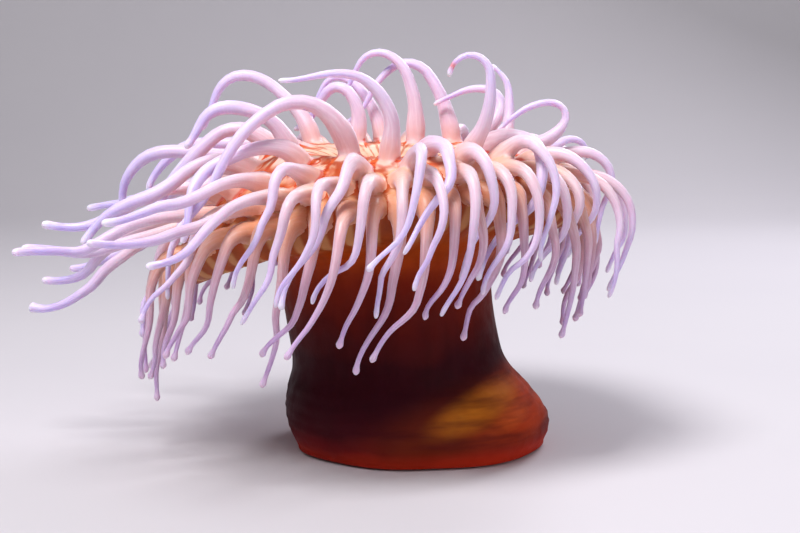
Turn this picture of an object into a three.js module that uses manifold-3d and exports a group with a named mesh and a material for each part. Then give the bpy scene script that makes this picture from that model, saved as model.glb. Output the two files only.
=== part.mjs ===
import * as THREE from 'three';
import Module from 'manifold-3d';

// Fish-eating sea anemone, fully open and standing on its pedal disc. Millimetres, +Z up.
// X runs across the widest view, -Y faces the viewer, the current sweeps the crown toward -X.

// ---- body: outline stations (radius, height) from the foot, up the column, round the margin
// ---- of the oral disc and in to the mouth
const OUTLINE = [
  [0, 0], [49, 0], [55.5, 2.5], [58.5, 10], [58, 18], [54, 27], [49, 36], [47.2, 48],
  [48, 80], [55, 93], [68, 102], [79, 108], [84.5, 117], [80.5, 124.5], [68, 130.6],
  [50, 132.5], [32, 130.5], [18, 126.5], [12.5, 129], [7.5, 127], [4.5, 118], [0, 112],
];
const LEAN = -11;             // sideways shift of the crown from the foot
const LEAN_HEIGHT = 80;       // height at which the lean is complete
const FOOT_HEIGHT = 44;       // the foot's uneven spread fades out at this height
const LOBE_DIRECTION = 188;   // azimuth of the hanging lobe of the disc, degrees
const LOBE_STRETCH = 0.13;    // extra reach of that lobe
const LOBE_DROP = 32;         // how far it hangs
const CROWN_START = 78;       // the disc's waves begin above this height
const SEAM = 0.35;            // clearance between neighbouring parts
const TRIM = 0.25;            // slivers below this size are removed after a join or cut
const RIM_TRIMS = [1.05, 0.9, 0.75, 0.65, 0.55, 0.45, 0.35, 0.25];   // the same, on the crown

// ---- where the body is divided
const PEDAL_TOP = 6;
const WAIST = 46;
const CORE_TOP = 109.7;
const LIP_RADIUS = 20;
const UNDERSIDE_STATION = 9.2;  // inner edge of the crown under the disc
const TOPSIDE_STATION = 14.45;  // inner edge of the crown on top of the disc

// ---- crown
const SECTORS = 10;
const SECTOR_CUTS = 3;        // facets round each sector
const TURN = 1;               // azimuth of the first sector, degrees
const SINK = 2;               // how deep a tentacle is rooted
const TIP_RADIUS = 1.05;
const GRAIN = 24;             // steps along a tentacle's centre line
const CYCLES = [
  { name: 'first', station: 15.15, places: [0], radius: 5.6, taper: 1.25, sides: 5, rings: 8 },
  { name: 'second', station: 14.62, places: [0.5], radius: 5.4, taper: 1.25, sides: 5, rings: 8 },
  { name: 'third', station: 14.2, places: [-0.25, 0.25], radius: 5, taper: 1.5,
    sides: 5, rings: 4, length: 84, lift: 0.2, spread: 1 },
  { name: 'fourth', station: 13.6, places: [-0.375, -0.125, 0.125, 0.375], radius: 4.6,
    taper: 1.5, sides: 5, rings: 4, length: 84, lift: -0.1, spread: 0.9 },
  { name: 'fifth', station: 12.6, places: [-0.4, -0.2, 0, 0.2, 0.4], radius: 4.2,
    taper: 1.5, sides: 4, rings: 4, length: 71, lift: -0.85, spread: 0.4 },
];

// ---- the twenty inner tentacles one by one: length, depth slope at base and tip, then the
// ---- headings of the centre line in the X-Z plane at every fifth of it, degrees
const POSES = {
  first: [
    [56, 0.2, 0.1, [0, -20, 15, 32, -50, -115]],
    [66, 0.4, 0.3, [38, 45, 75, 165, 218, 205]],
    [82, 0.15, 0.1, [89, 89, 108, 164, 233, 245]],
    [66, 0.2, 0.1, [69, 85, 127, 227, 228, 220]],
    [88, 0.4, 0, [160, 180, 184, 181, 225, 267]],
    [84, 0, -0.1, [128, 158, 214, 235, 235, 253]],
    [66, -0.1, -0.1, [123, 118, 155, 189, 232, 232]],
    [118, -0.2, -0.25, [95, 135, 217, 234, 240, 242]],
    [86, -1.9, -0.2, [80, -20, -105, -130, -130, -122]],
    [108, -1.2, -0.1, [55, -30, -105, -130, -112, -103]],
  ],
  second: [
    [46, 0.4, 0.2, [72, 79, 82, 90, 131, 129]],
    [94, 0.15, 0, [105, 104, 128, 213, 238, 227]],
    [66, 0.3, 0.1, [100, 108, 119, 159, 230, 240]],
    [90, 0.3, 0, [95, 124, 141, 182, 241, 254]],
    [92, 0.4, 0, [165, 172, 178, 191, 231, 307]],
    [90, -0.15, -0.1, [150, 180, 216, 205, 214, 227]],
    [82, -0.4, -0.2, [110, 170, 210, 229, 248, 254]],
    [76, -0.2, -0.1, [76, 86, 124, 172, 183, 190]],
    [66, -0.35, 0.1, [70, 62, 76, 102, 178, 258]],
    [74, 0, 0.1, [27, 27, 51, 175, 222, 229]],
  ],
};

// ---- settling: neighbouring tentacles push each other aside
const CLEARANCE = 2.7;
const ROUNDS = 80;
const PUSH = 0.45;
const BEAD = 6;               // radius of the beads that keep tentacles out of the body

const MAROON = new THREE.MeshStandardMaterial({ color: '#4a0f16', roughness: 0.45, metalness: 0 });
const CREAM = new THREE.MeshStandardMaterial({ color: '#e6ab85', roughness: 0.5, metalness: 0 });
const SCARLET = new THREE.MeshStandardMaterial({ color: '#c8553c', roughness: 0.45, metalness: 0 });
const LILAC = new THREE.MeshStandardMaterial({ color: '#dccbe6', roughness: 0.4, metalness: 0 });
const BLUSH = new THREE.MeshStandardMaterial({ color: '#e8c3c6', roughness: 0.4, metalness: 0 });

const wasm = await Module();
wasm.setup();

const rad = (degrees) => degrees * Math.PI / 180;
const V = (x, y, z) => new THREE.Vector3(x, y, z);
const blend = (a, b, t) => a + (b - a) * t;

function smooth(t) {
  const c = Math.min(1, Math.max(0, t));
  return c * c * (3 - 2 * c);
}

// repeatable scatter in -1..1 for tentacle k, channel c
function scatter(k, c) {
  const w = Math.sin(k * 12.9898 + c * 78.233) * 43758.5453;
  return 2 * (w - Math.floor(w)) - 1;
}

// smooth curve through the outline stations
function outline(u) {
  const last = OUTLINE.length - 1;
  const i = Math.min(last - 1, Math.max(0, Math.floor(u)));
  const t = u - i;
  const at = (k) => OUTLINE[Math.min(last, Math.max(0, k))];
  const [a, b, c, d] = [at(i - 1), at(i), at(i + 1), at(i + 2)];
  const track = (q) => 0.5 * (2 * b[q] + (c[q] - a[q]) * t
    + (2 * a[q] - 5 * b[q] + 4 * c[q] - d[q]) * t * t
    + (3 * b[q] - a[q] - 3 * c[q] + d[q]) * t * t * t);
  return [Math.max(0, track(0)), track(1)];
}

const lobe = (phi) => Math.max(0, Math.cos(phi - rad(LOBE_DIRECTION))) ** 2;

// carries a point of the round body (radius, height, azimuth) to the leaning, lobed one
function warp(radius, height, phi) {
  const foot = (1 - smooth(height / FOOT_HEIGHT)) * smooth(radius / 40);
  const crown = smooth((height - CROWN_START) / 22) * smooth((radius - 46) / 38);
  const right = Math.max(0, Math.cos(phi));
  let r = radius + foot * (4 * Math.cos(phi) + 1.4 * Math.cos(3 * phi + 1) + 0.8 * Math.cos(7 * phi));
  r *= 1 + crown * (LOBE_STRETCH * lobe(phi) - 0.03 + 0.025 * Math.cos(3 * phi + 0.6)
    + 0.02 * Math.cos(5 * phi + 2));
  const z = height - crown * (2 + LOBE_DROP * lobe(phi) + 4 * right * right
    + 2.5 * Math.cos(4 * phi + 0.4));
  const x = LEAN * smooth(height / LEAN_HEIGHT);
  return V(x + r * Math.cos(phi), r * Math.sin(phi), z);
}

function skin(u, phi) {
  const [r, z] = outline(u);
  return warp(r, z, phi);
}

function skinNormal(u, phi) {
  const h = 0.002;
  const along = skin(u + h, phi).sub(skin(u - h, phi));
  const round = skin(u, phi + h).sub(skin(u, phi - h));
  return round.cross(along).normalize();
}

// station of the outline at a given height, between two stations
function stationAt(height, low, high) {
  let [a, b] = [low, high];
  for (let i = 0; i < 40; i += 1) {
    const m = (a + b) / 2;
    if (outline(m)[1] < height) a = m;
    else b = m;
  }
  return (a + b) / 2;
}

// ---- solids ------------------------------------------------------------------------------

function toManifold(points, faces) {
  const vertProperties = new Float32Array(points.length * 3);
  points.forEach((p, i) => vertProperties.set([p.x, p.y, p.z], 3 * i));
  const triVerts = new Uint32Array(faces);
  return new wasm.Manifold(new wasm.Mesh({ numProp: 3, vertProperties, triVerts }));
}

function toGeometry(solid) {
  const mesh = solid.getMesh();
  const n = mesh.numProp;
  const positions = new Float32Array(mesh.vertProperties.length / n * 3);
  for (let i = 0; i < positions.length / 3; i += 1) {
    for (let q = 0; q < 3; q += 1) positions[3 * i + q] = mesh.vertProperties[n * i + q];
  }
  const geometry = new THREE.BufferGeometry();
  geometry.setAttribute('position', new THREE.BufferAttribute(positions, 3));
  geometry.setIndex(new THREE.BufferAttribute(new Uint32Array(mesh.triVerts), 1));
  geometry.computeVertexNormals();
  return geometry;
}

// sweeps a closed profile of points per azimuth round the axis; a point of zero radius is shared
function sweep(count, cuts, first, step, at) {
  const full = cuts * step > 359.9;
  const columns = full ? cuts : cuts + 1;
  const points = [];
  const faces = [];
  const index = [];
  for (let c = 0; c < columns; c += 1) {
    index.push([]);
    for (let i = 0; i < count; i += 1) {
      const p = at(i, rad(first + c * step));
      const shared = c > 0 && p.distanceTo(points[index[0][i]]) < 1e-6;
      if (!shared) points.push(p);
      index[c].push(shared ? index[0][i] : points.length - 1);
    }
  }
  const face = (a, b, c) => {
    if (a !== b && b !== c && c !== a) faces.push(a, b, c);
  };
  for (let c = 0; c < cuts; c += 1) {
    const a = index[c];
    const b = index[(c + 1) % columns];
    for (let i = 0; i < count; i += 1) {
      const j = (i + 1) % count;
      face(a[i], b[i], b[j]);
      face(a[i], b[j], a[j]);
    }
  }
  if (!full) {
    const flat = index[0].map((i) => points[i]);
    const reach = (p) => Math.hypot(p.x - LEAN, p.y);
    const shape = flat.map((p) => new THREE.Vector2(reach(p), p.z));
    for (const [a, b, c] of THREE.ShapeUtils.triangulateShape(shape, [])) {
      face(index[0][a], index[0][b], index[0][c]);
      face(index[cuts][c], index[cuts][b], index[cuts][a]);
    }
  }
  return toManifold(points, faces);
}

const ALL_CUTS = SECTORS * SECTOR_CUTS;
const CUT = 360 / ALL_CUTS;
const EDGE = TURN - 180 / SECTORS;

const turned = (profile, cuts = ALL_CUTS) =>
  sweep(profile.length, cuts, EDGE, 360 / cuts, (i, phi) => warp(...profile[i], phi));

const stations = (...list) => list.map((u) => outline(u));

// wall between the crown and the core of the body, from the underside to the topside
const UNDER = outline(UNDERSIDE_STATION);
const TOP = outline(TOPSIDE_STATION);
const wallAt = (height, shift) => {
  const t = (height - UNDER[1]) / (TOP[1] - UNDER[1]);
  return [blend(UNDER[0], TOP[0], t) + shift, height];
};

function pedalDisc() {
  const rim = stationAt(PEDAL_TOP, 1, 3);
  return turned([[0, 0], ...stations(1, 1.5, 2), outline(rim), [0, PEDAL_TOP]]);
}

function columnLower() {
  const low = stationAt(PEDAL_TOP + SEAM, 1, 3);
  const high = stationAt(WAIST, 5, 8);
  return turned([[0, PEDAL_TOP + SEAM], ...stations(low, 3, 4, 5, 6, high), [0, WAIST]]);
}

function columnUpper() {
  const low = stationAt(WAIST + SEAM, 5, 8);
  const high = UNDERSIDE_STATION - 0.05;
  return turned([
    [0, WAIST + SEAM], ...stations(low, 7.3, 8, 8.6, high),
    wallAt(CORE_TOP, -SEAM), [0, CORE_TOP],
  ]);
}

function oralDisc() {
  const base = CORE_TOP + SEAM;
  const inner = stations(TOPSIDE_STATION + 0.03, 15, 15.7, 16.3);
  return turned([
    [LIP_RADIUS, base], wallAt(base, -SEAM), ...inner, [LIP_RADIUS, outline(16.86)[1]],
  ]);
}

function mouthLips() {
  const edge = LIP_RADIUS - SEAM;
  const rim = stations(17, 17.6, 18, 18.5, 19, 20);
  return turned([
    [0, CORE_TOP + SEAM], [edge, CORE_TOP + SEAM], [edge, outline(16.9)[1]], ...rim, [0, 112],
  ], ALL_CUTS / 2);
}

const CROWN_STATIONS = [UNDERSIDE_STATION, 10, 11, 12, 12.7, 13.4, TOPSIDE_STATION];

// one tenth of the fleshy rim of the disc, before its tentacles are added
function rimSector(s) {
  const half = 180 / SECTORS;
  const middle = TURN + s * 2 * half;
  const shy = SEAM / 2 / 72 * 180 / Math.PI;
  const from = middle - half + shy;
  const step = (2 * half - 2 * shy) / SECTOR_CUTS;
  const profile = stations(...CROWN_STATIONS);
  return sweep(profile.length, SECTOR_CUTS, from, step, (i, phi) => warp(...profile[i], phi));
}

// the whole body swollen by the seam, used to seat the inner tentacles on the disc
function swollenBody() {
  const list = [1, 2, 3, 4, 5, 6, 7, 8, 9, ...CROWN_STATIONS, 15, 15.7, 16.3, 16.86];
  const ring = list.map((u) => (phi) => skin(u, phi).addScaledVector(skinNormal(u, phi), SEAM));
  const rows = [() => V(0, 0, -SEAM), ...ring, () => V(LEAN, 0, outline(16.86)[1])];
  return sweep(rows.length, ALL_CUTS, EDGE, CUT, (i, phi) => rows[i](phi));
}

// ---- tentacles ---------------------------------------------------------------------------

function heading(degrees, depth) {
  return V(Math.cos(rad(degrees)), depth, Math.sin(rad(degrees))).normalize();
}

// radius of a tentacle of one cycle at fraction s of its length
function thickness({ radius, taper }, s) {
  const shaft = TIP_RADIUS + (0.9 * radius - TIP_RADIUS) * (1 - s) ** taper;
  const swell = 0.18 * radius * Math.exp(-(((s - 0.09) / 0.08) ** 2));
  const knob = 0.42 * Math.exp(-(((s - 0.965) / 0.03) ** 2));
  return shaft + swell + knob;
}

// splits fraction s along an evenly spaced list into an index and the part beyond it
function locate(count, s) {
  const x = s * (count - 1);
  const i = Math.min(Math.floor(x), count - 2);
  return [i, x - i];
}

// follows course(s) for a given length, with a slight waver toward the tip and one short jog
function centreLine(start, course, length, k, jog) {
  const points = [start.clone()];
  const phase = Math.PI * scatter(k, 11);
  const where = 0.66 + 0.14 * scatter(k, 13);
  for (let n = 0; n < GRAIN; n += 1) {
    const s = (n + 0.5) / GRAIN;
    const d = course(s);
    const side = V(0, 1, 0).cross(d);
    const bend = jog * Math.exp(-(((s - where) / 0.05) ** 2));
    const waver = 0.2 * s * Math.sin(12 * s + phase) + bend;
    const weave = 0.16 * s * Math.cos(9 * s + 2 * phase);
    d.addScaledVector(side, waver).add(V(0, weave, 0)).normalize();
    points.push(points[n].clone().addScaledVector(d, length / GRAIN));
  }
  return points;
}

function posedCourse([, near, far, angles]) {
  return (s) => {
    const [i, t] = locate(angles.length, s);
    return heading(blend(angles[i], angles[i + 1], t), blend(near, far, s));
  };
}

// some tentacles of the lobe reach outward instead of hanging
function reaches(cycle, phi, k) {
  return cycle.name !== 'fifth' && lobe(phi) > 0.25 && scatter(k, 8) > -0.1;
}

// out over the rim, down, then a drift to the left; on the lobe some stretch outward
function hangingCourse(cycle, phi, normal, k) {
  const out = V(Math.cos(phi), Math.sin(phi), 0);
  const j = [0, 1, 2, 3, 4, 5, 6, 7].map((c) => scatter(k, c));
  const left = lobe(phi);
  const right = Math.max(0, Math.cos(phi));
  const { spread, lift } = cycle;
  const outer = cycle.name === 'fifth';
  const arch = outer ? 0 : right;
  const drift = (0.75 + 0.35 * j[1]) * (1 - 0.65 * right) * (1 - (outer ? 0.8 : 0.3) * left);
  const toward = (o, z, x) => out.clone().multiplyScalar(o).add(V(x, 0, z)).normalize();
  const keys = [out.clone().addScaledVector(normal, 0.5).normalize()];
  if (reaches(cycle, phi, k)) {
    const level = 0.35 * j[5];
    keys.push(
      toward(1, lift, 0),
      toward(0.9, -0.42 + 0.6 * level, 0),
      toward(0.85, -0.42 + level, 0),
      toward(1, -0.18 + 0.8 * level, 0),
      toward(1, 0.02 + 0.12 * j[6], 0),
    );
  } else {
    keys.push(
      toward(spread, lift + 0.1 * arch + 0.15 * j[2], -0.05),
      toward(0.3 * spread + 0.4 * arch + 0.15 * j[3], -1 + 0.5 * arch, -0.15 * drift),
      toward(0.1 * j[4] + 0.1 * arch, -1, -0.4 * drift),
      toward(0.12 * j[5], -0.75, -drift),
      toward(0.1 * j[6], -1, -0.5 * drift),
    );
  }
  const late = 1 + 0.35 * j[7];
  return (s) => {
    const [i, t] = locate(keys.length, s ** late);
    return keys[i].clone().lerp(keys[i + 1], t).normalize();
  };
}

function plantTentacles() {
  const list = [];
  for (const cycle of CYCLES) {
    for (let sector = 0; sector < SECTORS; sector += 1) {
      for (const place of cycle.places) {
        const k = list.length + 1;
        const phi = rad(TURN + 360 / SECTORS * (sector + place));
        const normal = skinNormal(cycle.station, phi);
        const start = skin(cycle.station, phi).addScaledVector(normal, -SINK);
        const pose = POSES[cycle.name]?.[sector];
        let length = pose?.[0];
        if (!pose) {
          length = cycle.length * (1 + 0.12 * scatter(k, 0)) * (1 - 0.13 * Math.abs(Math.cos(phi)));
          if (reaches(cycle, phi, k)) length *= 1.27;
        }
        const course = pose ? posedCourse(pose) : hangingCourse(cycle, phi, normal, k);
        const jog = pose ? 0 : 0.45 * scatter(k, 12);
        const points = centreLine(start, course, length, k, jog);
        list.push({ cycle, sector, length, points });
      }
    }
  }
  return list;
}

// beads just under the skin of the column and disc
function bodyBeads() {
  const list = [];
  for (let u = 7.5; u < 17.01; u += 0.5) {
    for (let a = 0; a < 36; a += 1) {
      const phi = rad(10 * a);
      list.push(skin(u, phi).addScaledVector(skinNormal(u, phi), -BEAD));
    }
  }
  return list;
}

// neighbours push one another apart; a tentacle moves less toward its root and keeps its length
function settle(list) {
  const beads = bodyBeads();
  const n = GRAIN + 1;
  const all = [];
  for (const [t, tentacle] of list.entries()) {
    tentacle.home = tentacle.points.map((p) => p.clone());
    for (let i = 0; i < n; i += 1) {
      const s = i / GRAIN;
      const girth = thickness(tentacle.cycle, s);
      all.push({ t, i, girth, ease: smooth((s - 0.1) / 0.35), push: V(0, 0, 0) });
    }
  }
  const place = (a) => list[a.t].points[a.i];
  const gap = V(0, 0, 0);
  for (let round = 0; round < ROUNDS; round += 1) {
    for (const a of all) a.push.set(0, 0, 0);
    for (let p = 0; p < all.length; p += 1) {
      const a = all[p];
      const here = place(a);
      for (let q = (a.t + 1) * n; q < all.length; q += 1) {
        const b = all[q];
        gap.subVectors(here, place(b));
        const distance = gap.length() + 1e-9;
        const lack = a.girth + b.girth + CLEARANCE - distance;
        if (lack > 0) {
          gap.multiplyScalar(lack * PUSH / distance);
          a.push.add(gap);
          b.push.sub(gap);
        }
      }
      if (a.ease > 0) {
        for (const bead of beads) {
          gap.subVectors(here, bead);
          const distance = gap.length() + 1e-9;
          const lack = a.girth + BEAD + CLEARANCE - distance;
          if (lack > 0) a.push.addScaledVector(gap, lack * PUSH / distance);
        }
      }
    }
    list.forEach((tentacle, t) => {
      const drift = tentacle.points.map((p, i) => {
        const a = all[t * n + i];
        return p.clone().addScaledVector(a.push, a.ease).sub(tentacle.home[i]);
      });
      const step = tentacle.length / GRAIN;
      for (let i = 1; i < n; i += 1) {
        const d = drift[i].clone();
        if (i < GRAIN) {
          d.multiplyScalar(0.5).addScaledVector(drift[i - 1], 0.25);
          d.addScaledVector(drift[i + 1], 0.25);
        }
        tentacle.points[i].copy(tentacle.home[i]).add(d);
        const previous = tentacle.points[i - 1];
        tentacle.points[i].sub(previous).normalize().multiplyScalar(step).add(previous);
      }
    });
  }
}

const direction = (path, s) =>
  path.getPoint(Math.min(1, s + 0.02)).sub(path.getPoint(Math.max(0, s - 0.02))).normalize();

// tube between two fractions of a tentacle; a flat n-gon closes each end, a cone the tip
function tube(tentacle, from, to, rings) {
  const { cycle, points, length } = tentacle;
  const path = new THREE.CatmullRomCurve3(points);
  const swell = Math.sqrt(2 * Math.PI / (cycle.sides * Math.sin(2 * Math.PI / cycle.sides)));
  const tip = to === 1;
  const vertices = [];
  const faces = [];
  let side = null;
  for (let r = 0; r <= rings; r += 1) {
    const s = blend(from, tip ? 1 - 1.6 * TIP_RADIUS / length : to, r / rings);
    const centre = path.getPoint(s);
    const ahead = direction(path, Math.abs(s - 0.5) < 0.01 ? 0.5 : s);
    if (!side) side = V(0, 1, 0.3).cross(ahead).normalize();
    side.addScaledVector(ahead, -side.dot(ahead)).normalize();
    const other = ahead.clone().cross(side);
    const girth = swell * thickness(cycle, s);
    for (let i = 0; i < cycle.sides; i += 1) {
      const a = 2 * Math.PI * (i + 0.5) / cycle.sides;
      const p = centre.clone().addScaledVector(side, girth * Math.cos(a));
      vertices.push(p.addScaledVector(other, girth * Math.sin(a)));
    }
  }
  const n = cycle.sides;
  for (let r = 0; r < rings; r += 1) {
    for (let i = 0; i < n; i += 1) {
      const j = (i + 1) % n;
      const a = r * n;
      faces.push(a + i, a + j, a + n + j, a + i, a + n + j, a + n + i);
    }
  }
  for (let i = 1; i < n - 1; i += 1) faces.push(0, i + 1, i);
  const end = rings * n;
  if (tip) {
    vertices.push(path.getPoint(1));
    for (let i = 0; i < n; i += 1) faces.push(end + i, end + (i + 1) % n, end + n);
  } else {
    for (let i = 1; i < n - 1; i += 1) faces.push(end, end + i, end + i + 1);
  }
  return toManifold(vertices, faces);
}

// the outer surface alone: no pocket stays sealed between the crowded roots
function filled(solid) {
  return solid.decompose().reduce((a, b) => (b.volume() > a.volume() ? b : a));
}

// true where two corners of a solid fall on one point
function pinched(solid) {
  const { position } = toGeometry(solid).attributes;
  const seen = new Set();
  for (let i = 0; i < position.count; i += 1) {
    seen.add([position.getX(i), position.getY(i), position.getZ(i)].map((x) => x.toFixed(3)).join());
  }
  return seen.size < position.count;
}

// removes slivers, with the largest trim that leaves no corners touching
function trimmed(solid) {
  const tries = RIM_TRIMS.map((size) => filled(solid.asOriginal().simplify(size)));
  return tries.find((one) => !pinched(one)) ?? tries.at(-1);
}

// ---- assembly ----------------------------------------------------------------------------

const anemone = new THREE.Group();
anemone.name = 'sea_anemone';

function add(name, solid, material) {
  const mesh = new THREE.Mesh(toGeometry(solid), material.clone());
  mesh.name = name;
  anemone.add(mesh);
}

const two = (n) => String(n).padStart(2, '0');
const tentacles = plantTentacles();
settle(tentacles);

add('pedal_disc', pedalDisc(), MAROON);
add('column_lower', columnLower(), MAROON);
add('column_upper', columnUpper(), MAROON);
add('oral_disc', oralDisc(), CREAM);
add('mouth_lips', mouthLips(), SCARLET);

const seat = swollenBody();
const inner = tentacles.filter((t) => POSES[t.cycle.name]);
inner.forEach((tentacle, i) => {
  const half = SEAM / 2 / tentacle.length;
  const rings = tentacle.cycle.rings / 2;
  const base = tube(tentacle, 0, 0.5 - half, rings).subtract(seat).asOriginal().simplify(TRIM);
  add(`inner_tentacle_${two(i + 1)}_base`, base, BLUSH);
  add(`inner_tentacle_${two(i + 1)}_tip`, tube(tentacle, 0.5 + half, 1, rings), LILAC);
});

for (let s = 0; s < SECTORS; s += 1) {
  let solid = rimSector(s);
  for (const t of tentacles) {
    if (t.sector === s && !POSES[t.cycle.name]) solid = solid.add(tube(t, 0, 1, t.cycle.rings));
  }
  add(`crown_sector_${two(s + 1)}`, trimmed(solid), LILAC);
}

export default anemone;
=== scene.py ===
import math

import bmesh
import bpy
import numpy as np
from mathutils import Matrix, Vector
from mathutils.kdtree import KDTree


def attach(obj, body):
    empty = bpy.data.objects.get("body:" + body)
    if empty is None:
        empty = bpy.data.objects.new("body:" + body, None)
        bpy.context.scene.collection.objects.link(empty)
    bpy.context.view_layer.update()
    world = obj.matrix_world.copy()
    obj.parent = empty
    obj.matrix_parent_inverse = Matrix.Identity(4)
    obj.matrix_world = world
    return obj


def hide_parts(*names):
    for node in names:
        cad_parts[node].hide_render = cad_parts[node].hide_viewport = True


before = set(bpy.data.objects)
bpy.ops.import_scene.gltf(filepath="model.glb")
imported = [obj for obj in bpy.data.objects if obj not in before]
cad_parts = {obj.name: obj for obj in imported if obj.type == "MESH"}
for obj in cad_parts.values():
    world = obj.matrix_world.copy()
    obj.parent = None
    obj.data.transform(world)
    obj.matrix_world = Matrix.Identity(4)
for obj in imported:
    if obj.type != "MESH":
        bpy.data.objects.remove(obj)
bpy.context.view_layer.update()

# Sea anemone. The shape is worked out in millimetres in the part's own frame and scaled to
# metres when the mesh is made. +Z is up, the viewer stands on the -Y side, and directions round
# the body are in degrees from +X.
MM = 0.001

# ---- body ----
# Radius and height of the body from the middle of the foot to the floor of the throat. A station
# is a place along this outline: 0 at its first point, 1 at its second, and so on.
OUTLINE = np.array([
    [0, 0], [49, 0], [55.5, 2.5], [58.5, 10], [58, 18], [54, 27], [49, 36], [47.2, 48],
    [48, 80], [55, 93], [68, 102], [79, 108], [84.5, 117], [80.5, 124.5], [68, 130.6],
    [50, 132.5], [32, 130.5], [18, 126.5], [12.5, 129], [7.5, 127], [4.5, 118], [0, 112],
], float)
LAST_STATION = len(OUTLINE) - 1
LEAN = -11            # the crown's middle lies this far along X
LEAN_HEIGHT = 80      # height by which the column has leaned over
FOOT_HEIGHT = 44      # the foot spreads below this height
CROWN_START = 78      # the crown is shaped above this height
LOBE_DIRECTION = 188  # side on which the crown droops
LOBE_STRETCH = 0.13   # how much further it reaches there, as a share
LOBE_DROP = 32        # how much lower it hangs there

# ---- crown ----
SECTORS = 10          # the tentacles repeat ten times round the crown
TURN = 1              # direction of the first sector's middle
SINK = 2              # depth under the skin at which a tentacle starts
TIP_RADIUS = 1.05
GRAIN = 24            # steps in a tentacle's centre line
# One cycle is a ring of tentacles: its station, and its places in a sector as parts of a sector.
CYCLES = [
    dict(name="first", station=15.15, places=[0], radius=5.6, taper=1.25),
    dict(name="second", station=14.62, places=[0.5], radius=5.4, taper=1.25),
    dict(name="third", station=14.2, places=[-0.25, 0.25], radius=5, taper=1.5,
         length=84, lift=0.2, spread=1),
    dict(name="fourth", station=13.6, places=[-0.375, -0.125, 0.125, 0.375], radius=4.6, taper=1.5,
         length=84, lift=-0.1, spread=0.9),
    dict(name="fifth", station=12.6, places=[-0.4, -0.2, 0, 0.2, 0.4], radius=4.2, taper=1.5,
         length=71, lift=-0.85, spread=0.4),
]
# The inner tentacles: length, depth slope at base and tip, headings from base to tip in degrees.
POSES = {
    "first": [
        (56, 0.2, 0.1, [0, -20, 15, 32, -50, -115]),
        (66, 0.4, 0.3, [38, 45, 75, 165, 218, 205]),
        (82, 0.15, 0.1, [89, 89, 108, 164, 233, 245]),
        (66, 0.2, 0.1, [69, 85, 127, 227, 228, 220]),
        (88, 0.4, 0, [160, 180, 184, 181, 225, 267]),
        (84, 0, -0.1, [128, 158, 214, 235, 235, 253]),
        (66, -0.1, -0.1, [123, 118, 155, 189, 232, 232]),
        (118, -0.2, -0.25, [95, 135, 217, 234, 240, 242]),
        (86, -1.9, -0.2, [80, -20, -105, -130, -130, -122]),
        (108, -1.2, -0.1, [55, -30, -105, -130, -112, -103]),
    ],
    "second": [
        (46, 0.4, 0.2, [72, 79, 82, 90, 131, 129]),
        (94, 0.15, 0, [105, 104, 128, 213, 238, 227]),
        (66, 0.3, 0.1, [100, 108, 119, 159, 230, 240]),
        (90, 0.3, 0, [95, 124, 141, 182, 241, 254]),
        (92, 0.4, 0, [165, 172, 178, 191, 231, 307]),
        (90, -0.15, -0.1, [150, 180, 216, 205, 214, 227]),
        (82, -0.4, -0.2, [110, 170, 210, 229, 248, 254]),
        (76, -0.2, -0.1, [76, 86, 124, 172, 183, 190]),
        (66, -0.35, 0.1, [70, 62, 76, 102, 178, 258]),
        (74, 0, 0.1, [27, 27, 51, 175, 222, 229]),
    ],
}

# ---- settling ----
CLEARANCE = 2.7       # room that neighbours keep between them
ROUNDS = 80
PUSH = 0.45           # share of the missing room made up in one round
BEAD = 6              # radius of the beads that fill the body under its skin
PAIRS_EVERY = 5       # rounds from one search for close pairs to the next
PAIR_REACH = 6        # that search looks this much further between tentacles
BEAD_REACH = 3        # and this much further between tentacles and beads
BLOCK = 325           # points compared at a time
HELD = 0.1            # a tentacle is held up to this fraction of its length,
EASE = 0.35           # and comes free over this much more


def rad(degrees):
    return np.radians(degrees)


def smooth(t):
    t = np.clip(t, 0.0, 1.0)
    return t * t * (3 - 2 * t)


def bell(x, middle, width):
    return np.exp(-((x - middle) / width) ** 2)


def unit(v):
    return v / np.linalg.norm(v, axis=-1, keepdims=True)


def scatter(k, c):
    """Repeatable scatter from -1 to 1 for tentacle k in channel c."""
    w = math.sin(k * 12.9898 + c * 78.233) * 43758.5453
    return 2 * (w - math.floor(w)) - 1


def spline(a, b, c, d, t):
    """Smooth curve from b to c, at fractions t of the way, between the points a and d."""
    return 0.5 * (2 * b + (c - a) * t + (2 * a - 5 * b + 4 * c - d) * t ** 2
                  + (3 * b - a - 3 * c + d) * t ** 3)


def outline(u):
    """Radius and height of the body at station u, on a smooth curve through OUTLINE."""
    u = np.asarray(u, float)
    i = np.clip(np.floor(u).astype(int), 0, LAST_STATION - 1)
    near = (OUTLINE[np.clip(i + k, 0, LAST_STATION)] for k in (-1, 0, 1, 2))
    p = spline(*near, (u - i)[..., None])
    return np.maximum(p[..., 0], 0), p[..., 1]


def lobe(phi):
    """How far a direction lies in the drooping lobe: 1 in its middle, 0 past a quarter turn."""
    return np.maximum(0, np.cos(phi - rad(LOBE_DIRECTION))) ** 2


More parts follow.
